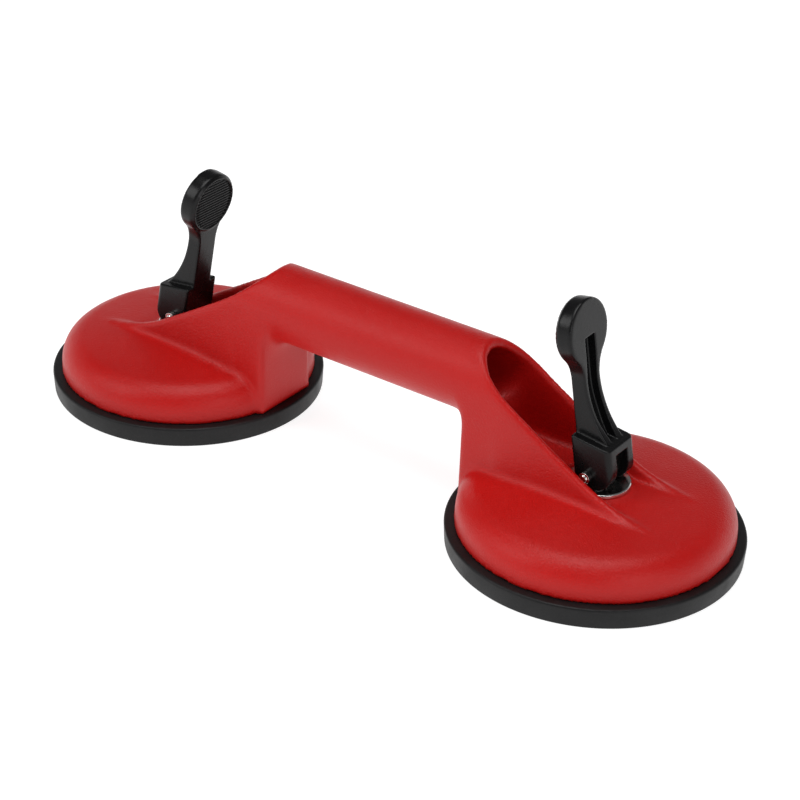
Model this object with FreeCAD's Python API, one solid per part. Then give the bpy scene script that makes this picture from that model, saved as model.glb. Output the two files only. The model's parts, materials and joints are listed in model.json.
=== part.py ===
"""Twin-cup suction lifter for floor tiles: a one-piece moulded body with a dome over each rubber
pad, and a cam lever in each dome's trough that pulls the middle of the pad up.

Frame: millimetres, +Z up, floor at Z = 0, +X from the left cup to the right cup, origin on the
floor midway between the cups. Each cup's own pieces are drawn round the cup's axis, with +X
pointing out of the lifter's end, and are then set down on the right and mirrored to the left.
"""

import FreeCAD, Part
import math
import os

# ---- Driving dimensions -------------------------------------------------------------------
CUP_SPACING = 210.2

# Rubber pad
PAD_RADIUS = 58.8
PAD_SHOULDER_RADIUS = 59.3
PAD_SHOULDER_Z = 7.9
PAD_TOP_Z = 8.5
PAD_WELL_RADIUS = 49.5
MEMBRANE_TOP_Z = 5.0
MEMBRANE_RECESS = 1.2
PAD_TOP_ROLL = 0.5
PAD_WELL_SLOPE = 1.0
SEAL_BAND_RADIUS = 52.0
SEAL_LIP_RADII = (48.0, 44.0)
SEAL_LIP_WIDTH = 1.4
SEAL_LIP_HEIGHT = 0.7

# Dome: a three-centred arch turned round the cup's axis
DOME_RIM_RADIUS = 55.2
DOME_TOP_Z = 26.8
DOME_CROWN_RADIUS = 350.0
DOME_SHOULDER_RADIUS = 11.4
WALL = 3.0
RIM_DRAFT = 1.0
BOSS_RADIUS = 8.0
BOSS_BOTTOM_Z = 15.5
RIB_COUNT = 8
RIB_THICKNESS = 2.0
RIB_BOTTOM_Z = 16.0

# Handle tube and the necks that carry it
TUBE_RADIUS = 16.1
TUBE_Z = 55.8
BORE_RADIUS = 12.4
NECK_FOOT_X = -55.1
NECK_HEAD_X = -54.8
NECK_FOOT_HALF_WIDTH = 16.6
NECK_STEP_X = (-41.5, -37.0)
NECK_EDGE_RADIUS = 1.6
NECK_BLEND_RADIUS = 5.0
NECK_BLEND_HEIGHT_SHARE = 0.3

# Trough that the lever stands in, open to the cup's outer side
TROUGH_FOOT_HALF_WIDTH = 17.7
TROUGH_HALF_WIDTH = 13.0
TROUGH_END_X = -48.4
TROUGH_CORNER_RADIUS = 7.5
TROUGH_FLOOR_Z = 29.7
TROUGH_FLOOR_FILLET = 1.8
RIDGE_FILLET = 1.2
LINER_SETBACK = 2.0
LINER_BITE = 0.3

# Scoop line that slopes the trough's two walls down from the handle to the dome
SCOOP_SLOPE = 31.1
SCOOP_KNEE = (-1.7, 36.8)
SCOOP_HEAD_START = (-30.0, 53.9)
SCOOP_HEAD_RADIUS = 120.0
SCOOP_HEAD_END_SLOPE = 46.0
SCOOP_FOOT_RADIUS = 83.9
SCOOP_FOOT_END_SLOPE = 7.0
SCOOP_RUN_OUT_SLOPE = 10.0
TROUGH_TAIL_X = 42.0

# Cam mechanism
WASHER_TOP_Z = 29.2
WASHER_THICKNESS = 1.8
WASHER_RADIUS = 12.7
WASHER_HOLE_RADIUS = 4.4
WASHER_EDGE = 0.4
SEAT_RADIUS = 12.9
SEAT_BOSS_RADIUS = 13.1
PIN_Z = 34.7
PIN_RADIUS = 1.6
PIN_HALF_LENGTH = 12.3
COLLAR_RADIUS = 2.4
COLLAR_INNER_Y = 9.5
COLLAR_OUTER_Y = 11.8
PIN_CHAMFER = 0.4
GROOVE_CUT = 0.5
PIN_CLEARANCE = 0.05
STUD_RADIUS = 3.4
STUD_CLEARANCE = 0.1
STUD_SPIGOT_RADIUS = 3.0
PLATE_RADIUS = 27.0
PLATE_THICKNESS = 2.0
PLATE_EDGE = 0.5
STUD_FLANGE_RADIUS = 6.5
STUD_FLANGE_THICKNESS = 1.5

# Cam lever, standing LEAN degrees towards the handle, swinging LOCK_TURN degrees outwards.
# Across the lever, sizes are measured out from the pin's axis; along it, up from the pin.
LEAN = 10.0
LOCK_TURN = 100.0
OUTER_FACE = 10.6
BLOCK_INNER_FACE = -6.0
BLOCK_HALF_WIDTH = 9.3
BLOCK_TOP_INNER = 16.5
BLOCK_TOP_OUTER = 11.4
BLOCK_OUTER_EDGE_RADIUS = 2.4
BLOCK_INNER_EDGE_RADIUS = 1.0
BLOCK_TOP_EDGE = 0.7
CAM_CURVE_SPANS = 8
CAM_CLEARANCE = 0.02
SLOT_HALF_WIDTH = 4.0
SLOT_TOP = 8.1
SLOT_WEB = 1.3
STEM_INNER_FACE = BLOCK_INNER_FACE
STEM_OUTER_FACE = 0.4
STEM_HALF_WIDTH = 5.45
STEM_ROOT = 9.6
STEM_FLARE_FOOT = 11.5
STEM_NECK = 37.6
STEM_FLARE_RADIUS = 45.0
STEM_EDGE = 0.6
STEM_BLEND_RADIUS = 13.0
GROOVE_HALF_WIDTH = 3.4
GROOVE_FOOT_HALF_WIDTH = 2.2
GROOVE_DEPTH = 3.4
GROOVE_TOP = 54.6
GROOVE_TAPER_START = 23.6
GROOVE_FOOT = 11.2
PADDLE_CENTRE = 56.3
PADDLE_RADIUS = 13.2
PADDLE_OUTER_FACE = 0.8
PADDLE_START = 46.6
GRIP_DISC_FACE = -6.7
GRIP_DISC_RADIUS = 12.2
GRIP_DISC_EDGE = 0.3
GRIP_RADIUS = 11.4
GRIP_DEPTH = 0.8
GRIP_RIB_COUNT = 17
GRIP_RIB_PITCH = 1.3
GRIP_RIB_WIDTH = 0.6
GRIP_RIB_HEIGHT = 0.5

# ---- Worked out from the above ------------------------------------------------------------
CUP_X = CUP_SPACING / 2
UP = FreeCAD.Vector(0, 0, 1)
ALONG_X = FreeCAD.Vector(1, 0, 0)
ALONG_Y = FreeCAD.Vector(0, 1, 0)
SEAT_Z = WASHER_TOP_Z - WASHER_THICKNESS
CAM_START = PIN_Z - WASHER_TOP_Z - CAM_CLEARANCE
CAM_RATE = (OUTER_FACE - CAM_START) / math.radians(LOCK_TURN)
FAR = 200.0
TOUCHING = 0.001


def vec(x, y, z):
    return FreeCAD.Vector(x, y, z)


def line(a, b):
    return Part.LineSegment(a, b).toShape()


def arc(a, middle, b):
    return Part.Arc(a, middle, b).toShape()


def face_of(edges):
    return Part.Face(Part.Wire(edges))


def turned(edges):
    """The solid that a closed outline in the XZ plane sweeps round the Z axis."""
    return face_of(edges).revolve(vec(0, 0, 0), UP, 360)


def profile_prism(edges, half_width):
    """An outline in the XZ plane, pushed out to +-half_width along Y."""
    face = face_of(edges)
    face.translate(vec(0, -half_width, 0))
    return face.extrude(vec(0, 2 * half_width, 0))


def box(x0, x1, y0, y1, z0, z1):
    return Part.makeBox(x1 - x0, y1 - y0, z1 - z0, vec(x0, y0, z0))


def closed(points):
    """Straight edges through the points and back to the first."""
    return [line(a, b) for a, b in zip(points, points[1:] + points[:1])]


# ---- Dome ---------------------------------------------------------------------------------
def dome_outline(inset):
    """Half of the dome's arch, set in by the wall's thickness for the inside.

    A drafted wall runs up from the rim into a small shoulder arc, which runs into a large crown
    arc centred on the axis. Moving the whole arch in keeps both centres where they are.
    """
    draft = math.radians(RIM_DRAFT)
    crown = DOME_CROWN_RADIUS - inset
    shoulder = DOME_SHOULDER_RADIUS - inset
    centre_z = DOME_TOP_Z - DOME_CROWN_RADIUS

    def shoulder_centre_r(z):
        run = (z - PAD_TOP_Z) * math.tan(draft)
        return DOME_RIM_RADIUS - run - DOME_SHOULDER_RADIUS / math.cos(draft)

    low, high = PAD_TOP_Z - DOME_SHOULDER_RADIUS, DOME_TOP_Z
    for _ in range(50):
        z = (low + high) / 2
        reach = math.hypot(shoulder_centre_r(z), z - centre_z)
        if reach < DOME_CROWN_RADIUS - DOME_SHOULDER_RADIUS:
            low = z
        else:
            high = z
    r = shoulder_centre_r(z)
    meet = math.atan2(z - centre_z, r)

    def on_shoulder(angle):
        return vec(r + shoulder * math.cos(angle), 0, z + shoulder * math.sin(angle))

    def on_crown(angle):
        return vec(crown * math.cos(angle), 0, centre_z + crown * math.sin(angle))

    rim = vec(DOME_RIM_RADIUS - inset / math.cos(draft), 0, PAD_TOP_Z)
    top = on_crown(math.pi / 2)
    return [
        line(rim, on_shoulder(draft)),
        arc(on_shoulder(draft), on_shoulder((draft + meet) / 2), on_shoulder(meet)),
        arc(on_shoulder(meet), on_crown((meet + math.pi / 2) / 2), top),
        line(top, vec(0, 0, PAD_TOP_Z)),
        line(vec(0, 0, PAD_TOP_Z), rim),
    ]


# ---- Neck, tube end and trough walls ------------------------------------------------------
def scoop_cutter():
    """Everything above the scoop line: a concave head arc, a straight slope, a concave foot arc
    and a straight run that sinks the walls into the dome."""
    slope = math.radians(SCOOP_SLOPE)

    def head(angle):
        x = SCOOP_HEAD_START[0] - SCOOP_HEAD_RADIUS * (math.sin(angle) - math.sin(slope))
        z = SCOOP_HEAD_START[1] + SCOOP_HEAD_RADIUS * (math.cos(slope) - math.cos(angle))
        return vec(x, 0, z)

    def foot(angle):
        x = SCOOP_KNEE[0] + SCOOP_FOOT_RADIUS * (math.sin(slope) - math.sin(angle))
        z = SCOOP_KNEE[1] - SCOOP_FOOT_RADIUS * (math.cos(angle) - math.cos(slope))
        return vec(x, 0, z)

    head_end = math.radians(SCOOP_HEAD_END_SLOPE)
    foot_end = math.radians(SCOOP_FOOT_END_SLOPE)
    edges = [
        arc(head(head_end), head((head_end + slope) / 2), head(slope)),
        line(head(slope), foot(slope)),
        arc(foot(slope), foot((slope + foot_end) / 2), foot(foot_end)),
    ]
    start = foot(foot_end)
    end_x = TROUGH_TAIL_X + 1
    end_z = start.z - (end_x - start.x) * math.tan(math.radians(SCOOP_RUN_OUT_SLOPE))
    above = [vec(end_x, 0, end_z), vec(end_x, 0, FAR), vec(head(head_end).x, 0, FAR)]
    edges += [line(a, b) for a, b in zip([start] + above, above + [head(head_end)])]
    return profile_prism(edges, 2 * TUBE_RADIUS)


def skirt_section(z, head_x, neck_y, trough_y, tail_x):
    """Plan of the skirt under the tube at height z: the neck, a small step out, the trough."""
    half = [(head_x, neck_y), (NECK_STEP_X[0], neck_y), (NECK_STEP_X[1], trough_y), (tail_x, trough_y)]
    points = [vec(x, -y, z) for x, y in half] + [vec(x, y, z) for x, y in reversed(half)]
    return Part.Wire(closed(points))


def skirt(tail_x):
    """Drafted walls that hang from the tube's sides down to the rim."""
    foot = skirt_section(PAD_TOP_Z, NECK_FOOT_X, NECK_FOOT_HALF_WIDTH, TROUGH_FOOT_HALF_WIDTH, tail_x)
    head = skirt_section(TUBE_Z, NECK_HEAD_X, TUBE_RADIUS, TUBE_RADIUS, tail_x)
    solid = Part.makeLoft([foot, head], True, True)
    corners = [
        e for e in solid.Edges
        if e.Length > TUBE_Z - PAD_TOP_Z - 1 and e.CenterOfMass.x < NECK_STEP_X[0] - 1
    ]
    return solid.makeFillet(NECK_EDGE_RADIUS, corners)


def neck_blend():
    """Concave ring that eases the tube's underside into the neck's flat inner face."""
    face_x = NECK_HEAD_X + (NECK_FOOT_X - NECK_HEAD_X) * NECK_BLEND_HEIGHT_SHARE
    toe_x = face_x - NECK_BLEND_RADIUS
    root_x = face_x + WALL
    inner_z = TUBE_Z - BORE_RADIUS
    tube_z = TUBE_Z - TUBE_RADIUS
    outer_z = tube_z - NECK_BLEND_RADIUS
    bend = NECK_BLEND_RADIUS * (1 - math.sqrt(0.5))
    section = [
        line(vec(root_x, 0, inner_z), vec(root_x, 0, outer_z)),
        line(vec(root_x, 0, outer_z), vec(face_x, 0, outer_z)),
        arc(vec(face_x, 0, outer_z), vec(face_x - bend, 0, tube_z - bend), vec(toe_x, 0, tube_z)),
        line(vec(toe_x, 0, tube_z), vec(toe_x, 0, inner_z)),
        line(vec(toe_x, 0, inner_z), vec(root_x, 0, inner_z)),
    ]
    ring = face_of(section).revolve(vec(0, 0, TUBE_Z), ALONG_X, 360)
    return ring.common(box(toe_x, root_x, -TUBE_RADIUS, TUBE_RADIUS, 0, TUBE_Z))


def trough_hollow():
    """Space between the trough's walls, arched like the tube and round-cornered at the handle.

    It has a level floor as far as the washer's seat, and from there it is open down to the dome.
    """
    half = TROUGH_HALF_WIDTH
    r = TROUGH_CORNER_RADIUS
    end = TROUGH_END_X
    bend = r * (1 - math.sqrt(0.5))
    plan = [
        line(vec(FAR, -half, 0), vec(end + r, -half, 0)),
        arc(vec(end + r, -half, 0), vec(end + bend, -half + bend, 0), vec(end, -half + r, 0)),
        line(vec(end, -half + r, 0), vec(end, half - r, 0)),
        arc(vec(end, half - r, 0), vec(end + bend, half - bend, 0), vec(end + r, half, 0)),
        line(vec(end + r, half, 0), vec(FAR, half, 0)),
        line(vec(FAR, half, 0), vec(FAR, -half, 0)),
    ]
    hollow = face_of(plan).extrude(vec(0, 0, FAR))
    hollow.translate(vec(0, 0, TROUGH_FLOOR_Z))
    low = [e for e in hollow.Edges if e.BoundBox.ZMax < TROUGH_FLOOR_Z + 1]
    floor = [e for e in low if e.BoundBox.XMin < FAR - 1]
    hollow = hollow.makeFillet(TROUGH_FLOOR_FILLET, floor)
    hollow = hollow.fuse(box(0, FAR, -half, half, 0, FAR))
    arch = Part.makeCylinder(half, 2 * FAR, vec(-FAR, 0, TUBE_Z), ALONG_X)
    arch = arch.fuse(box(-FAR, FAR, -half, half, -1, TUBE_Z))
    return hollow.common(arch).removeSplitter()


def upper_shell():
    """Neck, tube end and trough walls of one cup, before they meet the dome."""
    tail_x = TROUGH_TAIL_X
    tube = Part.makeCylinder(TUBE_RADIUS, tail_x + CUP_X, vec(-CUP_X, 0, TUBE_Z), ALONG_X)
    wide_bore = Part.makeCylinder(TROUGH_HALF_WIDTH, tail_x + CUP_X, vec(-CUP_X, 0, TUBE_Z), ALONG_X)
    body = skirt(tail_x).fuse([tube, neck_blend()]).removeSplitter()
    scoop = scoop_cutter()
    body = body.cut(scoop).cut(trough_hollow().fuse(wide_bore).removeSplitter())
    body = body.makeFillet(RIDGE_FILLET, ridge_edges(body, scoop))
    return body.fuse(bore_liner(scoop))


def bore_liner(scoop):
    """Thickening that narrows the bore behind the trough's end wall, so that the bore shows as a
    crisp hole in that wall; it stops short of the rounded rim at the tube's mouth."""
    length = CUP_X + TROUGH_END_X + TROUGH_CORNER_RADIUS
    liner = Part.makeCylinder(TROUGH_HALF_WIDTH + LINER_BITE, length, vec(-CUP_X, 0, TUBE_Z), ALONG_X)
    liner = liner.cut(Part.makeCylinder(BORE_RADIUS, length, vec(-CUP_X, 0, TUBE_Z), ALONG_X))
    lowered = scoop.copy()
    lowered.translate(vec(0, 0, -LINER_SETBACK))
    return liner.cut([trough_hollow(), lowered])


def ridge_edges(body, scoop):
    """Both long edges of each wall's sloping top, from the dome up over the tube's end."""
    surface = Part.makeCompound(scoop.Faces)

    def on_scoop(edge):
        samples = edge.discretize(3)
        return all(surface.distToShape(Part.Vertex(p))[0] < TOUCHING for p in samples)

    return [e for e in body.Edges if e.BoundBox.XLength > 1 and on_scoop(e)]


def dome_hollow():
    """Room under the dome for the pad's middle to rise, walled off from the flat neck."""
    hollow = turned(dome_outline(WALL))
    limit = NECK_FOOT_X + WALL
    return hollow.cut(box(-FAR, limit, -NECK_FOOT_HALF_WIDTH, NECK_FOOT_HALF_WIDTH, 0, FAR))


def dome_ribs():
    """Radial ribs and the stud's guide boss, hung from the inside of the crown."""
    boss = Part.makeCylinder(BOSS_RADIUS, DOME_TOP_Z - BOSS_BOTTOM_Z, vec(0, 0, BOSS_BOTTOM_Z))
    rib = box(0, DOME_RIM_RADIUS, -RIB_THICKNESS / 2, RIB_THICKNESS / 2, RIB_BOTTOM_Z, DOME_TOP_Z)
    web = boss
    for i in range(RIB_COUNT):
        turn = rib.copy()
        turn.rotate(vec(0, 0, 0), UP, 360 / RIB_COUNT * (i + 0.5))
        web = web.fuse(turn)
    return web.common(turned(dome_outline(WALL / 2)))


def half_housing():
    """One cup's dome, neck and trough, with half of the handle."""
    dome = turned(dome_outline(0))
    beyond_neck = box(-FAR, NECK_FOOT_X, -NECK_FOOT_HALF_WIDTH, NECK_FOOT_HALF_WIDTH, 0, FAR)
    dome = dome.cut(beyond_neck)
    boss = Part.makeCylinder(SEAT_BOSS_RADIUS, SEAT_Z - PAD_TOP_Z, vec(0, 0, PAD_TOP_Z))
    body = upper_shell().fuse([dome, boss]).removeSplitter()
    body = body.cut(dome_hollow()).fuse(dome_ribs())
    seat = Part.makeCylinder(SEAT_RADIUS, TROUGH_FLOOR_Z, vec(0, 0, SEAT_Z))
    guide = Part.makeCylinder(STUD_RADIUS + STUD_CLEARANCE, FAR)
    body = body.cut(seat).cut(guide)
    return body.cut(box(-FAR, -CUP_X, -FAR, FAR, -FAR, FAR))


def placed(shape, side):
    """Set a cup's piece down on the right, or mirror it to the left."""
    out = shape.copy()
    out.translate(vec(CUP_X, 0, 0))
    if side == "left":
        out = out.mirror(vec(0, 0, 0), ALONG_X)
    return out


def housing():
    half = half_housing()
    return placed(half, "right").fuse(placed(half, "left")).removeSplitter()


# ---- Rubber pad, backing plate and stud ---------------------------------------------------
def suction_pad():
    """Round rubber pad: a thick rim under the dome, a thin membrane inside it, and a sealing
    band and lips round a shallow recess underneath."""
    outline = [
        vec(0, 0, MEMBRANE_TOP_Z),
        vec(0, 0, MEMBRANE_RECESS),
        vec(SEAL_BAND_RADIUS - MEMBRANE_RECESS, 0, MEMBRANE_RECESS),
        vec(SEAL_BAND_RADIUS, 0, 0),
        vec(PAD_RADIUS, 0, 0),
        vec(PAD_SHOULDER_RADIUS, 0, PAD_SHOULDER_Z),
        vec(PAD_SHOULDER_RADIUS - PAD_TOP_ROLL, 0, PAD_TOP_Z),
        vec(PAD_WELL_RADIUS, 0, PAD_TOP_Z),
        vec(PAD_WELL_RADIUS - PAD_WELL_SLOPE, 0, MEMBRANE_TOP_Z),
    ]
    pad = turned(closed(outline))
    for radius in SEAL_LIP_RADII:
        half = SEAL_LIP_WIDTH / 2
        tip_z = MEMBRANE_RECESS - SEAL_LIP_HEIGHT
        lip = [
            vec(radius - half, 0, MEMBRANE_RECESS),
            vec(radius, 0, tip_z),
            vec(radius + half, 0, MEMBRANE_RECESS),
            vec(radius, 0, MEMBRANE_TOP_Z),
        ]
        pad = pad.fuse(turned(closed(lip)))
    return pad.removeSplitter()


def backing_plate():
    """Steel disc bonded to the middle of the pad, with a hole for the stud's rivet."""
    plate = Part.makeCylinder(PLATE_RADIUS, PLATE_THICKNESS, vec(0, 0, MEMBRANE_TOP_Z))
    rim = [e for e in plate.Edges if e.BoundBox.ZMin > MEMBRANE_TOP_Z and e.BoundBox.XLength > 1]
    plate = plate.makeChamfer(PLATE_EDGE, rim)
    return plate.cut(Part.makeCylinder(STUD_SPIGOT_RADIUS, FAR))


def pull_stud():
    """Round stud standing on the plate: spigot, flange, shank, and a head rounded about the
    pin's axis so that it clears the lever's web as the lever turns."""
    plate_top = MEMBRANE_TOP_Z + PLATE_THICKNESS
    spigot = Part.makeCylinder(STUD_SPIGOT_RADIUS, PLATE_THICKNESS, vec(0, 0, MEMBRANE_TOP_Z))
    flange = Part.makeCone(
        STUD_FLANGE_RADIUS, STUD_FLANGE_RADIUS - PLATE_EDGE, STUD_FLANGE_THICKNESS, vec(0, 0, plate_top)
    )
    shank = Part.makeCylinder(STUD_RADIUS, PIN_Z - plate_top, vec(0, 0, plate_top))
    head = Part.makeCylinder(STUD_RADIUS, STUD_RADIUS, vec(0, 0, PIN_Z))
    round_top = Part.makeCylinder(STUD_RADIUS, 2 * STUD_RADIUS, vec(0, -STUD_RADIUS, PIN_Z), ALONG_Y)
    stud = spigot.fuse([flange, shank, head.common(round_top)]).removeSplitter()
    hole = Part.makeCylinder(PIN_RADIUS, FAR, vec(0, -FAR / 2, PIN_Z), ALONG_Y)
    return stud.cut(hole)


# ---- Washer and pivot pin -----------------------------------------------------------------
def thrust_washer():
    washer = Part.makeCylinder(WASHER_RADIUS, WASHER_THICKNESS, vec(0, 0, SEAT_Z))
    rims = [e for e in washer.Edges if e.BoundBox.XLength > 1]
    washer = washer.makeChamfer(WASHER_EDGE, rims)
    return washer.cut(Part.makeCylinder(WASHER_HOLE_RADIUS, FAR))


def pivot_pin():
    """Plain pin with chamfered ends and a groove near each end for its collar."""
    half = [
        vec(0, 0, PIN_HALF_LENGTH),
        vec(PIN_RADIUS - PIN_CHAMFER, 0, PIN_HALF_LENGTH),
        vec(PIN_RADIUS, 0, PIN_HALF_LENGTH - PIN_CHAMFER),
        vec(PIN_RADIUS, 0, COLLAR_OUTER_Y),
        vec(PIN_RADIUS - GROOVE_CUT, 0, COLLAR_OUTER_Y),
        vec(PIN_RADIUS - GROOVE_CUT, 0, COLLAR_INNER_Y),
        vec(PIN_RADIUS, 0, COLLAR_INNER_Y),
    ]
    other_half = [vec(p.x, 0, -p.z) for p in reversed(half)]
    return laid_along_y(turned(closed(half + other_half)))


def pin_collars():
    """One retaining collar in the groove at each end of the pin."""
    length = COLLAR_OUTER_Y - COLLAR_INNER_Y
    ring = Part.makeCylinder(COLLAR_RADIUS, length, vec(0, 0, COLLAR_INNER_Y))
    ring = ring.cut(Part.makeCylinder(PIN_RADIUS - GROOVE_CUT, FAR))
    other = ring.mirror(vec(0, 0, 0), UP)
    return Part.makeCompound([laid_along_y(ring), laid_along_y(other)])


def laid_along_y(shape):
    """Turn a piece drawn round Z so that it lies round the pin's axis."""
    shape.rotate(vec(0, 0, 0), ALONG_X, 90)
    shape.translate(vec(0, 0, PIN_Z))
    return shape


# ---- Cam lever ----------------------------------------------------------------------------
def lever_point(out, along):
    """A point of the lever given by its distance out from the pin's axis towards the lever's
    outer face, and its distance along the lever."""
    lean = math.radians(LEAN)
    x = out * math.cos(lean) - along * math.sin(lean)
    z = out * math.sin(lean) + along * math.cos(lean)
    return vec(x, 0, PIN_Z + z)


def cam_point(turn):
    """Where the cam bears on the washer when the lever has turned by this many radians.

    The pin's height over the washer grows evenly with the turn, so the cam is the curve whose
    tangent lies that far from the pin: an involute of a circle of radius CAM_RATE.
    """
    height = CAM_START + CAM_RATE * turn
    x = height * math.sin(turn) + CAM_RATE * math.cos(turn)
    z = -height * math.cos(turn) + CAM_RATE * math.sin(turn)
    return vec(x, 0, PIN_Z + z)


def leaned(shape):
    """Take a shape drawn upright, with X out, Z along and the pin at the origin, to its place."""
    shape.rotate(vec(0, 0, 0), ALONG_Y, -LEAN)
    shape.translate(vec(0, 0, PIN_Z))
    return shape


def rounded_plan():
    """Upright column whose plan rounds the corners of the block's outer face."""
    half = BLOCK_HALF_WIDTH
    face = OUTER_FACE
    r = BLOCK_OUTER_EDGE_RADIUS
    bend = r * (1 - math.sqrt(0.5))
    plan = [
        line(vec(-FAR, -half, 0), vec(face - r, -half, 0)),
        arc(vec(face - r, -half, 0), vec(face - bend, -half + bend, 0), vec(face, -half + r, 0)),
        line(vec(face, -half + r, 0), vec(face, half - r, 0)),
        arc(vec(face, half - r, 0), vec(face - bend, half - bend, 0), vec(face - r, half, 0)),
        line(vec(face - r, half, 0), vec(-FAR, half, 0)),
        line(vec(-FAR, half, 0), vec(-FAR, -half, 0)),
    ]
    column = face_of(plan).extrude(vec(0, 0, 2 * FAR))
    column.translate(vec(0, 0, -FAR))
    return leaned(column)


def cam_block():
    """Block round the pin: flat foot, cam toe, outer face, sloping top and inner face."""
    lock = math.radians(LOCK_TURN)
    toe = Part.BSplineCurve()
    toe.interpolate([cam_point(lock * i / CAM_CURVE_SPANS) for i in range(CAM_CURVE_SPANS + 1)])
    top_inner = lever_point(BLOCK_INNER_FACE, BLOCK_TOP_INNER)
    top_outer = lever_point(OUTER_FACE, BLOCK_TOP_OUTER)
    beside_pin = lever_point(BLOCK_INNER_FACE, 0)
    run = (beside_pin.z - PIN_Z + CAM_START) * math.tan(math.radians(LEAN))
    foot_inner = vec(beside_pin.x + run, 0, PIN_Z - CAM_START)
    edges = [
        line(foot_inner, cam_point(0)),
        toe.toShape(),
        line(cam_point(lock), top_outer),
        line(top_outer, top_inner),
        line(top_inner, foot_inner),
    ]
    block = profile_prism(edges, BLOCK_HALF_WIDTH)
    inner = [e for e in block.Edges if e.BoundBox.YLength < TOUCHING and e.CenterOfMass.x < foot_inner.x]
    block = block.makeFillet(BLOCK_INNER_EDGE_RADIUS, inner).common(rounded_plan())
    top = max(block.Faces, key=lambda f: f.CenterOfMass.z)
    return block.makeFillet(BLOCK_TOP_EDGE, top.Edges)


def flare_out(along, depth=0.0):
    """How far out the flared edge stands at this distance along the lever, or the line that runs
    parallel to it this much deeper in."""
    below = max(STEM_NECK - along, 0)
    radius = STEM_FLARE_RADIUS + depth
    return STEM_OUTER_FACE + STEM_FLARE_RADIUS - math.sqrt(radius**2 - below**2)


def flare_arc(foot, depth=0.0):
    """The flare's arc, from its foot up to the neck."""
    heights = (foot, (foot + STEM_NECK) / 2, STEM_NECK)
    return arc(*[lever_point(flare_out(along, depth), along) for along in heights])


def lever_side():
    """The arm seen from the side: flat inner face, flared root, slim neck, thicker paddle."""
    tip = PADDLE_CENTRE + PADDLE_RADIUS
    corners = [
        (STEM_OUTER_FACE, STEM_NECK),
        (PADDLE_OUTER_FACE, PADDLE_START),
        (PADDLE_OUTER_FACE, tip),
        (STEM_INNER_FACE, tip),
        (STEM_INNER_FACE, STEM_ROOT),
        (flare_out(STEM_FLARE_FOOT), STEM_ROOT),
        (flare_out(STEM_FLARE_FOOT), STEM_FLARE_FOOT),
    ]
    points = [lever_point(out, along) for out, along in corners]
    edges = [line(a, b) for a, b in zip(points, points[1:])]
    return profile_prism(edges + [flare_arc(STEM_FLARE_FOOT)], PADDLE_RADIUS)


def lever_front():
    """The arm seen from the front: a straight stem that opens through two concave arcs into the
    round paddle."""
    half = STEM_HALF_WIDTH
    blend = STEM_BLEND_RADIUS
    side = half + blend
    drop = math.sqrt((PADDLE_RADIUS + blend) ** 2 - side**2)
    blend_z = PADDLE_CENTRE - drop
    meet = math.atan2(drop, side)

    def on_blend(angle, sign):
        return vec(0, sign * (side - blend * math.cos(angle)), blend_z + blend * math.sin(angle))

    crown = vec(0, 0, PADDLE_CENTRE + PADDLE_RADIUS)
    edges = [
        line(vec(0, -half, STEM_ROOT), vec(0, half, STEM_ROOT)),
        line(vec(0, half, STEM_ROOT), on_blend(0, 1)),
        arc(on_blend(0, 1), on_blend(meet / 2, 1), on_blend(meet, 1)),
        arc(on_blend(meet, 1), crown, on_blend(meet, -1)),
        arc(on_blend(meet, -1), on_blend(meet / 2, -1), on_blend(0, -1)),
        line(on_blend(0, -1), vec(0, -half, STEM_ROOT)),
    ]
    return leaned(pushed_out(edges))


def pushed_out(edges):
    """Push a front outline, drawn in the YZ plane, both ways along X."""
    front = face_of(edges)
    front.translate(vec(-FAR / 2, 0, 0))
    return front.extrude(vec(FAR, 0, 0))


def stem_groove():
    """Channel down the arm's outer side, square at the paddle, narrowing to a round foot."""
    half = GROOVE_HALF_WIDTH
    end = GROOVE_FOOT_HALF_WIDTH
    end_z = GROOVE_FOOT + end
    edges = [
        arc(vec(0, -end, end_z), vec(0, 0, GROOVE_FOOT), vec(0, end, end_z)),
        line(vec(0, end, end_z), vec(0, half, GROOVE_TAPER_START)),
        line(vec(0, half, GROOVE_TAPER_START), vec(0, half, GROOVE_TOP)),
        line(vec(0, half, GROOVE_TOP), vec(0, -half, GROOVE_TOP)),
        line(vec(0, -half, GROOVE_TOP), vec(0, -half, GROOVE_TAPER_START)),
        line(vec(0, -half, GROOVE_TAPER_START), vec(0, -end, end_z)),
    ]
    corners = [
        (STEM_OUTER_FACE - GROOVE_DEPTH, STEM_NECK),
        (STEM_OUTER_FACE - GROOVE_DEPTH, GROOVE_TOP),
        (FAR, GROOVE_TOP),
        (FAR, GROOVE_FOOT),
        (flare_out(GROOVE_FOOT, GROOVE_DEPTH), GROOVE_FOOT),
    ]
    points = [lever_point(out, along) for out, along in corners]
    side = [line(a, b) for a, b in zip(points, points[1:])]
    floor = flare_arc(GROOVE_FOOT, GROOVE_DEPTH)
    return profile_prism(side + [floor], half).common(leaned(pushed_out(edges)))


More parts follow.
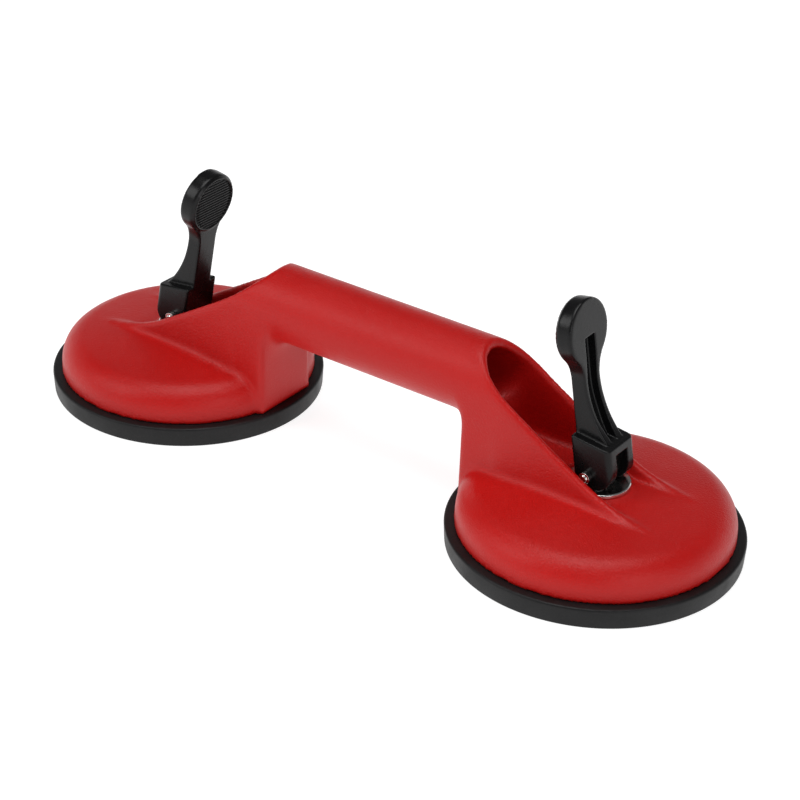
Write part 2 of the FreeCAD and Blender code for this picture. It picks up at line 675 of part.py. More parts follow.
def grip_disc():
    """Thin raised disc on the paddle's inner face, dished, with cross ribs for the thumb."""
    face = -GRIP_DISC_FACE
    root = -STEM_INNER_FACE - GRIP_DISC_EDGE
    disc = Part.makeCylinder(GRIP_DISC_RADIUS, face - root, vec(0, 0, root))
    rim = [e for e in disc.Edges if e.BoundBox.ZMin > face - TOUCHING]
    disc = disc.makeFillet(GRIP_DISC_EDGE, rim)
    dish = Part.makeCylinder(GRIP_RADIUS, FAR, vec(0, 0, face - GRIP_DEPTH))
    ribs = []
    for i in range(GRIP_RIB_COUNT):
        y = (i - (GRIP_RIB_COUNT - 1) / 2) * GRIP_RIB_PITCH
        low = y - GRIP_RIB_WIDTH / 2
        top = face - GRIP_DEPTH + GRIP_RIB_HEIGHT
        ribs.append(box(-GRIP_RADIUS, GRIP_RADIUS, low, low + GRIP_RIB_WIDTH, root, top))
    disc = disc.cut(dish).fuse([rib.common(dish) for rib in ribs]).removeSplitter()
    disc.rotate(vec(0, 0, 0), UP, 90)
    disc.rotate(vec(0, 0, 0), ALONG_Y, -90)
    disc.translate(vec(0, 0, PADDLE_CENTRE))
    return leaned(disc)


def lever_arm():
    """Stem and paddle with their long edges broken, the groove and the ribbed grip."""
    arm = lever_side().common(lever_front())
    long_edges = [e for e in arm.Edges if e.BoundBox.ZLength > STEM_EDGE * 5]
    arm = arm.makeFillet(STEM_EDGE, long_edges).cut(stem_groove())
    return arm.fuse(grip_disc())


def cam_lever():
    """Block and arm in one moulding, slotted over the stud and bored for the pin."""
    lever = lever_arm().fuse(cam_block())
    slot = box(BLOCK_INNER_FACE + SLOT_WEB, FAR, -SLOT_HALF_WIDTH, SLOT_HALF_WIDTH, -FAR, SLOT_TOP)
    hole = Part.makeCylinder(PIN_RADIUS + PIN_CLEARANCE, FAR, vec(0, -FAR / 2, PIN_Z), ALONG_Y)
    return lever.cut([leaned(slot), hole]).removeSplitter()


# ---- Parts --------------------------------------------------------------------------------
CUP_PIECES = {
    "suction_pad": suction_pad,
    "backing_plate": backing_plate,
    "pull_stud": pull_stud,
    "thrust_washer": thrust_washer,
    "pivot_pin": pivot_pin,
    "pin_collars": pin_collars,
    "cam_lever": cam_lever,
}


def main():
    os.makedirs("parts", exist_ok=True)
    housing().exportStep("parts/housing.step")
    for name, make in CUP_PIECES.items():
        piece = make()
        for side in ("left", "right"):
            placed(piece, side).exportStep(f"parts/{name}_{side}.step")


if __name__ == "__main__":
    main()
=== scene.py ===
# %% [markdown]
# # A twin-cup suction lifter for floor tiles
#
# The lifter is one red moulded body with a dome over each black rubber pad. A cam lever stands
# in a trough above each cup. Turning it outwards pulls the middle of the pad up, and the
# vacuum under the pad holds the tile.
#
# The engineering model is loaded first as a fixed frame. It gives every place and size, in
# metres, with the floor at z = 0. The looks are then built round it, one piece at a time.

import json
import math

import bmesh
import bpy
import numpy as np
from mathutils import Matrix, Vector


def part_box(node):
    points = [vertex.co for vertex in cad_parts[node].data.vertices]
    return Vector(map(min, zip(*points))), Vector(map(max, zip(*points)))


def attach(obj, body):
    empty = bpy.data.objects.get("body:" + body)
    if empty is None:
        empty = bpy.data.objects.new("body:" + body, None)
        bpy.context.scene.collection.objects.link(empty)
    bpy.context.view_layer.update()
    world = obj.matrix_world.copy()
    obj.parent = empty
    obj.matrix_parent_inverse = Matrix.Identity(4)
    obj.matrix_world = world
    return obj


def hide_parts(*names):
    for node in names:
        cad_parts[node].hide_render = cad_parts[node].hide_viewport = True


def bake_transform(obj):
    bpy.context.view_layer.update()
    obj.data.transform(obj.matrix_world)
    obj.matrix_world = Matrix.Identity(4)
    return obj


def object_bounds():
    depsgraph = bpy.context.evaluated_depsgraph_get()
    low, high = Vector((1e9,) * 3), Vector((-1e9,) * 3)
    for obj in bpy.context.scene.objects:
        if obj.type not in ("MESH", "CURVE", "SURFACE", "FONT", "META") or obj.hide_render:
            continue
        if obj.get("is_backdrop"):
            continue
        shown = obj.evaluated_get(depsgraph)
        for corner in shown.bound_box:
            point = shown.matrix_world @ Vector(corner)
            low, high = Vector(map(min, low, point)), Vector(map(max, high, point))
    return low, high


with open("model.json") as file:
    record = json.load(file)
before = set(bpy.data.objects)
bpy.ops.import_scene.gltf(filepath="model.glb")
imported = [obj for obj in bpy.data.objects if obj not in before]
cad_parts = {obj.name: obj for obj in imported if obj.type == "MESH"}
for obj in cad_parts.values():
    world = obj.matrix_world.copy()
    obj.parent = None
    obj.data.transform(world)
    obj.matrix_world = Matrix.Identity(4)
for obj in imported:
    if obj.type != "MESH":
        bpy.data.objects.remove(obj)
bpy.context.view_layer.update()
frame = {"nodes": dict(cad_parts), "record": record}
print("frame nodes:", len(frame["nodes"]))

# %% [markdown]
# ## Camera
#
# A long lens keeps the near cup from looking much larger than the far one. The camera is
# placed by the direction it looks back along: an azimuth round the lifter and an elevation
# above the floor. A small roll tilts the picture, as a hand-held camera does.

# %% Place the camera
AZIMUTH, ELEVATION, ROLL = np.radians([35.56533, 29.61672, 1.618263])
CAMERA_PLACE = (0.4521308, -0.6188057, 0.4624311)
LENS_MM = 96.352


def view_axes(azimuth, elevation, roll):
    """The camera's right, up and backward axes: backward from two angles, right level with
    the floor, then both turned about backward by the roll."""
    back = np.array(
        [
            math.sin(azimuth) * math.cos(elevation),
            -math.cos(azimuth) * math.cos(elevation),
            math.sin(elevation),
        ]
    )
    right = np.cross((0, 0, 1), back)
    right /= np.linalg.norm(right)
    up = np.cross(back, right)
    turn = np.array([[math.cos(roll), math.sin(roll)], [-math.sin(roll), math.cos(roll)]])
    right, up = turn @ np.array([right, up])
    return right, up, back


scene = bpy.context.scene
camera = bpy.data.objects.new("camera", bpy.data.cameras.new("camera"))
scene.collection.objects.link(camera)
scene.camera = camera
camera.data.lens = LENS_MM
camera.data.sensor_width = 36.0
camera.data.clip_start = 0.01
camera.data.clip_end = 20.0
pose = Matrix.Identity(4)
for column, axis in enumerate(view_axes(AZIMUTH, ELEVATION, ROLL)):
    for row in range(3):
        pose[row][column] = axis[row]
pose.translation = Vector(CAMERA_PLACE)
camera.matrix_world = pose
print("camera distance:", round(Vector(CAMERA_PLACE).length, 3), "m")

# %% [markdown]
# ## Floor and light
#
# The lifter stands in a white room: a floor that reaches past the picture, a sky for the fill,
# and soft lamps. The sky is bright low down, like a white backdrop, and dim overhead, so a
# surface shines where it is seen along its face and keeps its colour elsewhere. Large lamps
# give the wide, soft highlights that a satin moulding shows along its shoulders. The Standard
# view keeps the red deep, where a film-like view would wash it out.

# %% Sky and lamps
HORIZON_GLOW = 1.0
CEILING_GLOW = 0.12

scene.view_settings.view_transform = "Standard"

world = bpy.data.worlds.new("white_room")
world.use_nodes = True
sky = world.node_tree
background = sky.nodes["Background"]
direction = sky.nodes.new("ShaderNodeTexCoord")
height = sky.nodes.new("ShaderNodeSeparateXYZ")
glow = sky.nodes.new("ShaderNodeMapRange")
glow.interpolation_type = "SMOOTHSTEP"
glow.inputs["From Min"].default_value = 0.04
glow.inputs["From Max"].default_value = 0.40
glow.inputs["To Min"].default_value = HORIZON_GLOW
glow.inputs["To Max"].default_value = CEILING_GLOW
sky.links.new(direction.outputs["Generated"], height.inputs["Vector"])
sky.links.new(height.outputs["Z"], glow.inputs["Value"])
sky.links.new(glow.outputs["Result"], background.inputs["Strength"])
background.inputs["Color"].default_value = (1.0, 0.985, 1.0, 1.0)
scene.world = world


def lamp(name, place, size, watts):
    """A square area lamp that faces the middle of the lifter."""
    data = bpy.data.lights.new(name, "AREA")
    data.shape = "SQUARE"
    data.size = size
    data.energy = watts
    thing = bpy.data.objects.new(name, data)
    thing.location = place
    aim = Vector((0, 0, 0.03)) - Vector(place)
    thing.rotation_euler = aim.to_track_quat("-Z", "Y").to_euler()
    scene.collection.objects.link(thing)
    return thing


lamp("lamp_above", (0.05, -0.1, 1.3), 0.8, 9.0)
lamp("lamp_front", (-0.7, -0.9, 0.9), 0.7, 5.5)
lamp("lamp_side", (1.2, -0.5, 0.6), 0.6, 3.0)

# %% [markdown]
# ## How the finishes are made
#
# Every finish starts from the Principled shader and adds what the real surface has: a grain
# that a light picks out, a polish that isn't quite even, and edges that the mould or the
# tumbler has broken. `Finish` keeps one material under construction and gives short ways to
# add those. Patterns read Object coordinates, which are metres here, so a scale of 1000 means
# a grain about a millimetre across.

# %% A material under construction
class Finish:
    """A material under construction: its node tree and its shader, with short ways to add
    noise, a colour ramp, a bump and rounded edges."""

    def __init__(self, name, colour, roughness, **sockets):
        self.material = bpy.data.materials.new(name)
        self.material.use_nodes = True
        self.tree = self.material.node_tree
        self.shader = self.tree.nodes["Principled BSDF"]
        self.shader.inputs["Base Color"].default_value = (*colour, 1.0)
        self.shader.inputs["Roughness"].default_value = roughness
        for socket, value in sockets.items():
            self.shader.inputs[socket.replace("_", " ")].default_value = value

    def node(self, kind, **settings):
        made = self.tree.nodes.new(kind)
        for key, value in settings.items():
            setattr(made, key, value)
        return made

    def join(self, out, into):
        self.tree.links.new(out, into)

    def place(self):
        return self.node("ShaderNodeTexCoord").outputs["Object"]

    def noise(self, scale, detail=2.0, roughness=0.5):
        made = self.node("ShaderNodeTexNoise")
        made.inputs["Scale"].default_value = scale
        made.inputs["Detail"].default_value = detail
        made.inputs["Roughness"].default_value = roughness
        self.join(self.place(), made.inputs["Vector"])
        return made.outputs["Fac"]

    def cells(self, scale):
        made = self.node("ShaderNodeTexVoronoi")
        made.inputs["Scale"].default_value = scale
        self.join(self.place(), made.inputs["Vector"])
        return made.outputs["Distance"]

    def sum(self, first, second, share):
        """First plus a share of second."""
        made = self.node("ShaderNodeMath", operation="MULTIPLY_ADD")
        made.inputs[1].default_value = share
        self.join(second, made.inputs[0])
        self.join(first, made.inputs[2])
        return made.outputs["Value"]

    def ramp(self, value, stops):
        made = self.node("ShaderNodeValToRGB")
        band = made.color_ramp
        while len(band.elements) < len(stops):
            band.elements.new(0.5)
        for element, (at, colour) in zip(band.elements, stops):
            element.position = at
            element.color = (*colour, 1.0)
        self.join(value, made.inputs["Fac"])
        return made.outputs["Color"]

    def between(self, value, low, high, start=0.0, end=1.0):
        """The value from start to end, made a number from low to high."""
        made = self.node("ShaderNodeMapRange")
        made.inputs["From Min"].default_value = start
        made.inputs["From Max"].default_value = end
        made.inputs["To Min"].default_value = low
        made.inputs["To Max"].default_value = high
        self.join(value, made.inputs["Value"])
        return made.outputs["Result"]

    def rounded(self, radius):
        """Shading that runs round every edge and corner as if it had this radius."""
        made = self.node("ShaderNodeBevel", samples=8)
        made.inputs["Radius"].default_value = radius
        return made.outputs["Normal"]

    def bump(self, height, distance, onto=None):
        made = self.node("ShaderNodeBump")
        made.inputs["Distance"].default_value = distance
        self.join(height, made.inputs["Height"])
        if onto is not None:
            self.join(onto, made.inputs["Normal"])
        return made.outputs["Normal"]

    def set(self, socket, value):
        self.join(value, self.shader.inputs[socket])


print("ways to add to a finish:", [name for name in vars(Finish) if name[0] != "_"])

# %% [markdown]
# ## Red plastic
#
# The body is polypropylene or ABS moulded in a tool whose walls were spark-eroded. That leaves
# a fine, even grain, so the shine is satin and breaks into small sparkles in the highlights.
# The plastic flowed into the tool from the middle of the handle, and slow, cloudy changes of
# shade show where it set. Inner corners are drawn with a soft radius, as every moulding has.

# %% Red plastic
red = Finish("red_plastic", (0.47, 0.0045, 0.0035), 0.42, Specular_IOR_Level=0.29)
clouds = red.noise(14.0, 3.0)
dark_red, bright_red = (0.44, 0.0040, 0.0030), (0.50, 0.0055, 0.0040)
red.set("Base Color", red.ramp(clouds, [(0.3, dark_red), (0.7, bright_red)]))
red.set("Roughness", red.between(red.noise(60.0, 4.0), 0.34, 0.44, 0.3, 0.7))
grain = red.sum(red.noise(1700.0, 3.0), red.cells(1100.0), 0.35)
red.set("Normal", red.bump(grain, 0.00016, red.rounded(0.0006)))
print("red plastic nodes:", len(red.tree.nodes))

# %% [markdown]
# ## Black rubber
#
# The pads are soft vulcanised rubber. Fresh from the tool it is matt and a little dusty with
# release powder, with faint flow streaks round the rim. It takes a grey sheen from the side.

# %% Black rubber
rubber = Finish("black_rubber", (0.004, 0.004, 0.004), 0.5, Specular_IOR_Level=0.28)
dust = rubber.noise(900.0, 5.0, 0.7)
bare, dusty = (0.0035, 0.0035, 0.0038), (0.010, 0.0096, 0.010)
rubber.set("Base Color", rubber.ramp(dust, [(0.5, bare), (0.8, dusty)]))
rubber.set("Roughness", rubber.between(rubber.noise(90.0, 3.0), 0.42, 0.56, 0.3, 0.7))
rubber.set("Normal", rubber.bump(rubber.noise(1300.0, 4.0, 0.6), 0.00005))
print("black rubber nodes:", len(rubber.tree.nodes))

# %% [markdown]
# ## Black plastic
#
# The levers are glass-filled nylon. The tool was polished, so they are glossier than the
# body, and their edges catch thin lines of light. The fill shows as a faint, fine ripple.

# %% Black plastic
black = Finish("black_plastic", (0.0045, 0.0045, 0.0048), 0.26, Specular_IOR_Level=0.23)
black.set("Roughness", black.between(black.noise(120.0, 4.0), 0.21, 0.32, 0.3, 0.7))
ripple = black.sum(black.noise(700.0, 3.0), black.noise(2600.0, 2.0), 0.3)
black.set("Normal", black.bump(ripple, 0.00003, black.rounded(0.0005)))
print("black plastic nodes:", len(black.tree.nodes))

# %% [markdown]
# ## Steel
#
# The thrust washer, pin and collars are polished and take sharp glints. The studs and backing
# plates inside are zinc plated: duller, with a cloudy spangle.

# %% Steel
steel = Finish("polished_steel", (0.74, 0.73, 0.71), 0.16, Metallic=1.0)
steel.set("Roughness", steel.between(steel.noise(500.0, 3.0), 0.10, 0.26, 0.3, 0.7))
steel.set("Normal", steel.bump(steel.noise(2500.0, 2.0), 0.00001, steel.rounded(0.0002)))

plated = Finish("plated_steel", (0.6, 0.6, 0.58), 0.35, Metallic=1.0)
spangle = plated.cells(350.0)
dull, bright = (0.50, 0.50, 0.49), (0.68, 0.68, 0.64)
plated.set("Base Color", plated.ramp(spangle, [(0.1, dull), (0.8, bright)]))
plated.set("Roughness", plated.between(plated.noise(200.0, 3.0), 0.28, 0.45, 0.3, 0.7))
print("steel nodes:", len(steel.tree.nodes), "and", len(plated.tree.nodes))

# %% [markdown]
# ## A finish for every part
#
# The frame's record says which material each part is made of. Every part gets its finish here,
# so the small steel parts keep their engineering shapes and only gain a real surface. The
# pads, the housing and the levers get shapes of their own further down.

# %% Give each part its finish
FINISHES = {
    "red_plastic": red,
    "black_rubber": rubber,
    "black_plastic": black,
    "polished_steel": steel,
    "plated_steel": plated,
}
for entry in frame["record"]["subparts"]:
    node = frame["nodes"][entry["node"]]
    finish = FINISHES[entry["material_slot"]]
    if not node.material_slots:
        node.data.materials.append(finish.material)
    for held in node.material_slots:
        held.material = finish.material

# %% [markdown]
# ## Rubber suction pads
#
# Each pad is one moulding, round about the cup's axis: a thick outer ring under the dome, a
# well with a thin, flexible middle, and underneath a flat sealing band with two lips inside
# it. A lathe shape is natural for it, so the piece is a profile of radius and height, with
# every corner rounded, swept round the axis as one grid of points.
#
# The middle is bonded to the backing plate. When the lever pulls the plate up, the middle
# rises and the ring stays down, so the pad bends between the body and the stud.

# %% A rounded profile
def rounded_profile(corners, steps=6):
    """Points along a profile whose inner corners are arcs, with its two ends as they are. Each
    corner is (radius, height, rounding): the arc touches both sides at a distance of rounding
    from the corner, and is drawn as a quadratic curve pulled towards the corner."""
    table = np.array(corners, float)
    spots, cut = table[1:-1, None, :2], table[1:-1, None, 2:]
    before = table[:-2, None, :2] - spots
    after = table[2:, None, :2] - spots
    before /= np.linalg.norm(before, axis=-1, keepdims=True)
    after /= np.linalg.norm(after, axis=-1, keepdims=True)
    t = np.linspace(0, 1, steps)[None, :, None]
    start, end = spots + cut * before, spots + cut * after
    curve = (1 - t) ** 2 * start + 2 * t * (1 - t) * spots + t**2 * end
    return np.concatenate([table[:1, :2], curve.reshape(-1, 2), table[-1:, :2]])


square = rounded_profile([(0, 0, 0), (1, 0, 0.2), (1, 1, 0.2), (0, 1, 0)])
print("points on a rounded square:", len(square))


# %% A profile swept round an axis
def swept(profile, centre_x, turns=256):
    """Vertices and faces of a profile swept round the vertical line x = centre_x. A vertex at
    angle a is (centre_x + r cos a, r sin a, z). The profile's two ends lie on the line, so each
    is a single vertex with a fan of triangles, and the shell is closed."""
    angle = np.linspace(0, 2 * np.pi, turns, endpoint=False)[:, None]
    r, z = profile[None, 1:-1, 0], profile[None, 1:-1, 1]
    grid = np.stack([centre_x + r * np.cos(angle), r * np.sin(angle), z + 0 * angle], axis=-1)
    poles = [[centre_x, 0, profile[0, 1]], [centre_x, 0, profile[-1, 1]]]
    count = len(profile) - 2
    i, j = np.meshgrid(np.arange(turns), np.arange(count - 1), indexing="ij")
    i, j = i.ravel(), j.ravel()
    here, ahead = i * count + j, (i + 1) % turns * count + j
    quads = np.stack([here, ahead, ahead + 1, here + 1], axis=1)
    first = np.arange(turns) * count
    second = np.roll(first, -1)
    below, above = np.full(turns, turns * count), np.full(turns, turns * count + 1)
    fans = np.concatenate(
        [
            np.stack([below, second, first], axis=1),
            np.stack([above, first + count - 1, second + count - 1], axis=1),
        ]
    )
    return np.concatenate([grid.reshape(-1, 3), poles]), quads.tolist() + fans.tolist()


print("faces of a swept square:", len(swept(square, 0.0, turns=8)[1]))


# %% A piece with its finish
def fade(value, start, width):
    """A number that is 0 up to start, 1 from start + width on, and rises evenly between."""
    return np.clip((value - start) / width, 0, 1)


def piece(name, vertices, faces, finish_slot):
    """A smooth mesh object in the scene, with its finish."""
    mesh = bpy.data.meshes.new(name)
    mesh.from_pydata(vertices.tolist(), [], [list(face) for face in faces])
    mesh.polygons.foreach_set("use_smooth", np.ones(len(faces), bool))
    mesh.materials.append(FINISHES[finish_slot].material)
    thing = bpy.data.objects.new(name, mesh)
    scene.collection.objects.link(thing)
    return thing


print("halfway up a fade:", fade(0.5, 0.0, 1.0))

# %% The pad's profile
MEMBRANE_TOP = 0.0050
RECESS = 0.0012
SEAL_INNER = 0.0520
WELL_RADIUS = 0.0490


def pad_profile(radius, top):
    """Corners of half a pad, anticlockwise from the middle of the underside: recess, two lips,
    seal band, outer side, top ring, well, and the middle of the membrane's top."""
    lip_tip = RECESS - 0.0007
    return [
        (0.0, RECESS, 0.0),
        (0.0432, RECESS, 0.0003),
        (0.0440, lip_tip, 0.0002),
        (0.0448, RECESS, 0.0003),
        (0.0472, RECESS, 0.0003),
        (0.0480, lip_tip, 0.0002),
        (0.0488, RECESS, 0.0003),
        (SEAL_INNER - RECESS, RECESS, 0.0004),
        (SEAL_INNER, 0.0, 0.0003),
        (radius - 0.0005, 0.0, 0.0008),
        (radius, top, 0.0012),
        (WELL_RADIUS + 0.0010, top, 0.0004),
        (WELL_RADIUS, MEMBRANE_TOP, 0.0008),
        (0.0, MEMBRANE_TOP, 0.0),
    ]


print("profile corners:", len(pad_profile(0.059, 0.0085)))

# %% [markdown]
# The pad belongs to two bodies at once: its middle rises with the stud and its ring stays with
# the housing, which is how a rubber membrane bows. Here each pad is one still piece in the place
# and size of the engineering pad, which it replaces. Each point's distance from the cup's axis
# is worked out, but nothing uses it.

# %% Two pads
for side in ("left", "right"):
    low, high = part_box(f"suction_pad_{side}")
    centre_x = (low.x + high.x) / 2
    radius = (high.y - low.y) / 2
    vertices, faces = swept(rounded_profile(pad_profile(radius, high.z)), centre_x)
    pad = piece(f"rubber_pad_{side}", vertices, faces, "black_rubber")
    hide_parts(f"suction_pad_{side}")
    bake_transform(pad)
    reach = np.hypot(vertices[:, 0] - centre_x, vertices[:, 1])
    print(pad.name, "radius in mm:", round(1000 * radius, 1), "faces:", len(faces))

# %% [markdown]
# ## Red housing
#
# The housing is one thick moulding, and no inner corner of it is sharp: the plastic needs a
# radius to flow round, so the tube melts into the necks and the domes swell out of the trough
# walls. The engineering solid has the right forms but meets some of them in a crease.
#
# The piece starts as a copy of that solid, relaid in even quads. Each point is then drawn
# towards the mean of its neighbours, over and over. Where that mean lies outside the surface,
# the point is in a hollow corner, and it is let go all the way, so the corner fills like a
# fillet. Where it lies inside, the point is on a ridge, and it hardly moves, so rims keep
# their shape. Where parts fit, round the washers and under the domes, points only slide along
# the surface. Even there the relaying rounds each sharp edge: by a few tenths of a millimetre
# as a rule, and by more than one at the sharpest hidden corners.

# %% Relay a surface in even quads
VOXEL = 0.00110


def even_copy(node, voxel, press=None):
    """Points and quads of a node's surface, relaid on a grid of voxels: its loose triangles
    are joined at their corners, which closes the shell, and the shell is sampled again.
    Press, if given, moves the joined points first."""
    mesh = node.data.copy()
    joined = bmesh.new()
    joined.from_mesh(mesh)
    bmesh.ops.remove_doubles(joined, verts=joined.verts, dist=2e-6)
    joined.to_mesh(mesh)
    joined.free()
    if press:
        points = np.empty(3 * len(mesh.vertices), np.float32)
        mesh.vertices.foreach_get("co", points)
        mesh.vertices.foreach_set("co", press(points.reshape(-1, 3)).ravel())
    thing = bpy.data.objects.new("even", mesh)
    scene.collection.objects.link(thing)
    relay = thing.modifiers.new("even", "REMESH")
    relay.mode = "VOXEL"
    relay.voxel_size = voxel
    laid = thing.evaluated_get(bpy.context.evaluated_depsgraph_get()).to_mesh()
    points = np.empty(3 * len(laid.vertices), np.float32)
    laid.vertices.foreach_get("co", points)
    corners = np.empty(len(laid.loops), np.int32)
    laid.loops.foreach_get("vertex_index", corners)
    quads = corners.reshape(-1, 4)
    bpy.data.objects.remove(thing)
    bpy.data.meshes.remove(mesh)
    return points.reshape(-1, 3).astype(float), quads


points, quads = even_copy(frame["nodes"]["housing"], VOXEL)
print("housing points:", len(points), "quads:", len(quads))

# %% Normals and neighbours
def normals_of(points, quads):
    """Unit normals at the points: each quad's normal is the cross product of its diagonals,
    and a point takes the sum over its quads."""
    a, b, c, d = (points[quads[:, k]] for k in range(4))
    face = np.cross(c - a, d - b)
    total = np.stack(
        [
            np.bincount(quads.ravel(), np.repeat(face[:, k], 4), minlength=len(points))
            for k in range(3)
        ],
        axis=1,
    )
    return total / np.maximum(np.linalg.norm(total, axis=1, keepdims=True), 1e-12)


def neighbour_mean(points, quads):
    """The mean of each point's neighbours along the sides of its quads."""
    start = np.concatenate([quads.ravel(), np.roll(quads, 1, axis=1).ravel()])
    other = np.concatenate([np.roll(quads, 1, axis=1).ravel(), quads.ravel()])
    count = np.bincount(start, minlength=len(points))
    total = [np.bincount(start, points[other, k], minlength=len(points)) for k in range(3)]
    return np.stack(total, axis=1) / count[:, None]


normal = normals_of(points, quads)
print("points facing up:", int((normal[:, 2] > 0.9).sum()))


# %% Fill hollow corners
PACE, SLIDE = 0.5, 0.2


def filled(points, quads, fill, wear, rounds):
    """Move points towards their neighbours' mean. Along the normal a point goes by the pace
    times fill where the mean lies outside, and times wear where it lies inside. Along the
    surface every point slides by a fifth, also where fill and wear are 0, so the quads stay
    even."""
    for _ in range(rounds):
        normal = normals_of(points, quads)
        step = neighbour_mean(points, quads) - points
        rise = (step * normal).sum(axis=1)
        slide = step - rise[:, None] * normal
        gain = np.where(rise > 0, fill, wear)
        points = points + PACE * (gain * rise)[:, None] * normal + SLIDE * slide
    return points


rise = ((neighbour_mean(points, quads) - points) * normal).sum(axis=1)
print("points in a hollow:", int((rise > 0).sum()))

# %% [markdown]
# Two numbers from 0 to 1 say where a point may move. Calm is 0 under the dome and round the
# washer and 1 elsewhere, and a short first pass with it takes out the grid's steps. Free is
# calm without the outer half of the cup, where two thin ridges run out and have to stay crisp.
# The fill is a small share of free over the domes, and all of it at the bends of the neck and
# the tube.

# %% Where the housing may move
WALL_INNER = 0.0545
INSIDE_TOP = 0.024
MARGIN, SEAT_FADE = 0.0015, 0.004
OUTER_FADE = 0.012
NECK_LOW, NECK_FADE = 0.036, 0.008
NECK_REACH = 0.052

washer_low, washer_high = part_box("thrust_washer_right")
cup_x = (washer_low.x + washer_high.x) / 2
washer_radius = washer_high.y
pad_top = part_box("suction_pad_right")[1].z
offset = points[:, :2] - np.stack([np.copysign(cup_x, points[:, 0]), 0 * points[:, 0]], axis=1)
reach = np.linalg.norm(offset, axis=1)
inward = -(normal[:, :2] * offset).sum(axis=1) / np.maximum(reach, 1e-9)
level = points[:, 2]
under = (reach < WALL_INNER) & ((normal[:, 2] < -0.2) | ((inward > 0.3) & (level < INSIDE_TOP)))
under |= level < pad_top + MARGIN
inner = cup_x - np.abs(points[:, 0])
calm = np.where(under, 0.0, fade(reach - washer_radius, MARGIN, SEAT_FADE))
free = calm * fade(inner, 0.0, OUTER_FADE)
bend = fade(level, NECK_LOW, NECK_FADE)
bend = np.maximum(bend, (reach > NECK_REACH) & (inner > NECK_REACH))
print("points that may move:", int((free > 0).sum()), "of", len(points))

# %% Soften the housing
DOME_FILL, RIDGE_WEAR = 0.06, 0.05
FIRST_GAIN, FIRST_ROUNDS, ROUNDS = 0.6, 3, 40

points = filled(points, quads, FIRST_GAIN * calm, FIRST_GAIN * calm, FIRST_ROUNDS)
fill = free * (DOME_FILL + (1 - DOME_FILL) * bend)
points = filled(points, quads, fill, RIDGE_WEAR * free, ROUNDS)
housing = piece("red_housing", points, quads, "red_plastic")
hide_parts("housing")
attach(housing, "body")
print(housing.name, "quads:", len(quads))

# %% [markdown]
# ## Black levers
#
# Each lever is a block that holds the cam, a stem with a groove along its outer face, and a
# round paddle with a ribbed dish for the thumb. The paddle is what the hand meets, so its rim
# is well rounded, while the stem only has its edges broken. The cam must keep its curve, so
# points on the block only slide along the surface, which still rounds its sharp edges by up
# to a few tenths of a millimetre.
#
# The way is the same as for the housing, on a finer grid. Here the gain inside the surface is
# as large as outside it, which wears ridges down. How far it goes is set by the height along
# the lever, which leans a little towards the handle when it is up.

# %% A lever's own directions
LEVER_VOXEL = 0.00031
TOUCH = 0.00005
LEAN = math.radians(10.0)
PADDLE_HEIGHT = 0.0563
DISH_RADIUS, RIM_RADIUS = 0.0114, 0.0124
DISH_FLOOR, RIB_TOP = -0.0059, -0.0064


class LeverFrame:
    """A lever's own directions, from the middle of its pin: outwards across the lever, and
    along it, both turned back by the lean."""

    def __init__(self, side):
        low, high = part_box(f"pivot_pin_{side}")
        self.pin = (np.array(low) + np.array(high)) / 2
        self.hand = -1 if side == "left" else 1
        self.across = np.array([self.hand * math.cos(LEAN), 0, math.sin(LEAN)])
        self.along = np.array([-self.hand * math.sin(LEAN), 0, math.cos(LEAN)])

    def read(self, points):
        """Distance across, along, and from the paddle's axis."""
        across = (points - self.pin) @ self.across
        along = (points - self.pin) @ self.along
        return across, along, np.hypot(points[:, 1], along - PADDLE_HEIGHT)

    def press_ribs(self, points):
        """Bring the dish's ribs down to its floor, because the grid is too coarse for them."""
        across, _, reach = self.read(points)
        rib = (reach < DISH_RADIUS + TOUCH) & (across < DISH_FLOOR) & (across > RIB_TOP - TOUCH)
        drop = np.where(rib, DISH_FLOOR - across, 0.0)
        return (points + drop[:, None] * self.across).astype(np.float32)


for side in ("left", "right"):
    print(side, "lever's pin in mm:", [round(1000 * value, 1) for value in LeverFrame(side).pin])

# %% [markdown]
# The ribs are too fine for the grid, so they are pressed flat before it is laid and made again
# as rounded bars. A bar is an oval section carried from one wall of the dish to the other.

# %% The dish's ribs
RIB_COUNT, RIB_PITCH, RIB_WIDTH, RIB_HEIGHT = 17, 0.0013, 0.0006, 0.0005


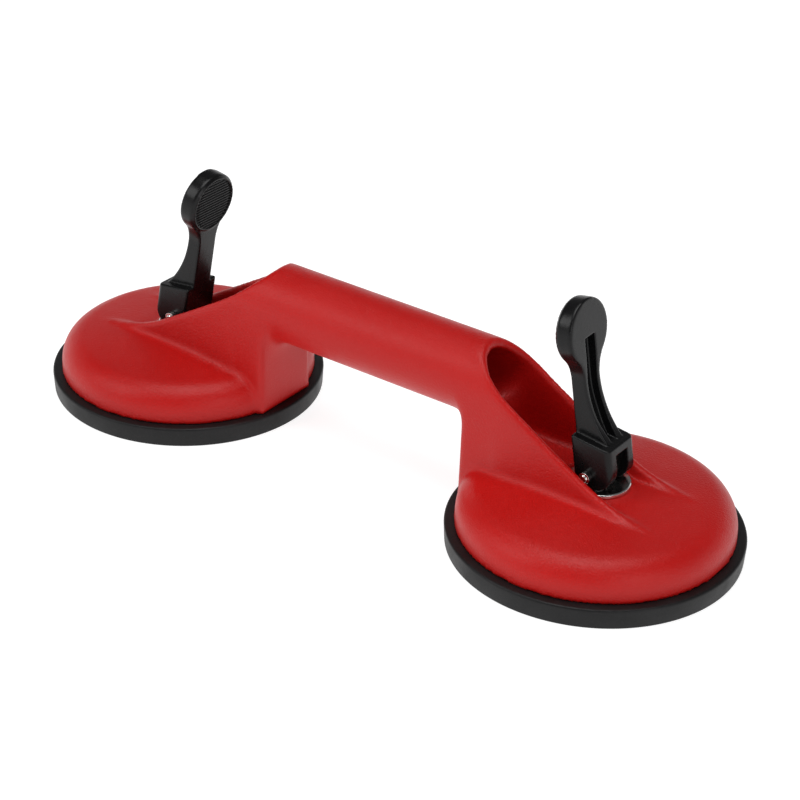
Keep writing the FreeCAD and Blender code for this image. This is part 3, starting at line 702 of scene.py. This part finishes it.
def dish_ribs(lever, sections=9, ring=12):
    """Ribs across the dish, as one array of rib, section and ring point. The ring is
    an oval, flattened under the floor: width cos t, height sin t. Each rib runs from wall to
    wall, so its half length is the side of a right triangle under the dish's radius."""
    offset = (np.arange(RIB_COUNT) - (RIB_COUNT - 1) / 2) * RIB_PITCH
    half = np.sqrt((DISH_RADIUS + 0.0001) ** 2 - (np.abs(offset) + RIB_WIDTH / 2) ** 2)
    t = np.linspace(0, 2 * np.pi, ring, endpoint=False) + np.pi / ring
    rise = np.where(np.sin(t) > 0, RIB_HEIGHT, 0.0001) * np.sin(t)
    y = half[:, None, None] * np.linspace(-1, 1, sections)[None, :, None]
    along = PADDLE_HEIGHT + offset[:, None, None] + RIB_WIDTH / 2 * np.cos(t)
    across = DISH_FLOOR - rise[None, None, :]
    y, along, across = np.broadcast_arrays(y, along, across)
    points = lever.pin + across[..., None] * lever.across + along[..., None] * lever.along
    points = points + y[..., None] * np.array([0, 1, 0])
    rib, i, j = np.meshgrid(
        np.arange(RIB_COUNT), np.arange(sections - 1), np.arange(ring), indexing="ij"
    )
    base, ahead = (rib * sections + i) * ring, (j + 1) % ring
    sides = np.stack([base + j, base + ring + j, base + ring + ahead, base + ahead], axis=-1)
    k = np.arange(ring // 2 - 1)
    strip = np.stack([k, k + 1, ring - 2 - k, ring - 1 - k], axis=-1)
    first = (np.arange(RIB_COUNT) * sections * ring)[:, None, None]
    ends = np.concatenate([first + strip, first + (sections - 1) * ring + strip[:, ::-1]])
    quads = np.concatenate([sides.reshape(-1, 4), ends.reshape(-1, 4)])
    return points.reshape(-1, 3), quads if lever.hand > 0 else quads[:, ::-1]


print("points on a dish's ribs:", len(dish_ribs(LeverFrame("left"))[0]))

# %% Two levers
GROOVE_HALF, GROOVE_FLOOR = 0.0040, -0.0045
STEM_START, STEM_FADE, STEM_WEAR = 0.0175, 0.002, 0.12
PADDLE_START, PADDLE_FADE = 0.040, 0.006
LEVER_ROUNDS = 24

for side in ("left", "right"):
    lever = LeverFrame(side)
    points, quads = even_copy(frame["nodes"][f"cam_lever_{side}"], LEVER_VOXEL, lever.press_ribs)
    across, along, reach = lever.read(points)
    dish = (reach < RIM_RADIUS) & (across < DISH_FLOOR + 4 * TOUCH)
    groove = (np.abs(points[:, 1]) < GROOVE_HALF) & (across > GROOVE_FLOOR)
    paddle = np.where(groove, 0.0, fade(along, PADDLE_START, PADDLE_FADE))
    stem = STEM_WEAR * fade(along, STEM_START, STEM_FADE)
    gain = np.where(dish, 0.0, np.maximum(stem, paddle))
    points = filled(points, quads, gain, gain, LEVER_ROUNDS)
    ribs, rib_quads = dish_ribs(lever)
    quads = np.concatenate([quads, rib_quads + len(points)])
    points = np.concatenate([points, ribs])
    made = piece(f"black_lever_{side}", points, quads, "black_plastic")
    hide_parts(f"cam_lever_{side}")
    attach(made, f"lever_{side}")
    print(made.name, "quads:", len(quads), "reach in mm:", round(1000 * along.max(), 1))

# %% [markdown]
# ## White floor
#
# The floor is a plain white sheet. It glows a little, so that it stays white to the picture's
# edge and keeps only a faint shadow where the pads stand.

# %% White floor
white = Finish("white_floor", (0.4, 0.4, 0.4), 0.9, Specular_IOR_Level=0.0)
white.shader.inputs["Emission Color"].default_value = (1.0, 1.0, 1.0, 1.0)
white.shader.inputs["Emission Strength"].default_value = 0.85

REACH = 4.0
floor_mesh = bpy.data.meshes.new("floor")
corners = [(-REACH, -REACH, 0), (REACH, -REACH, 0), (REACH, REACH, 0), (-REACH, REACH, 0)]
floor_mesh.from_pydata(corners, [], [(0, 1, 2, 3)])
floor_mesh.materials.append(white.material)
floor = bpy.data.objects.new("floor", floor_mesh)
scene.collection.objects.link(floor)
floor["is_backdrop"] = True
print("floor side in m:", 2 * REACH)

# %% [markdown]
# ## Sizes
#
# The size of the looks, all but the floor, is printed. The looks have to stay inside the
# engineering model's box.

# %% Print the visual size
low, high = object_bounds()
print("visual size in mm:", [round(1000 * s, 1) for s in high - low])
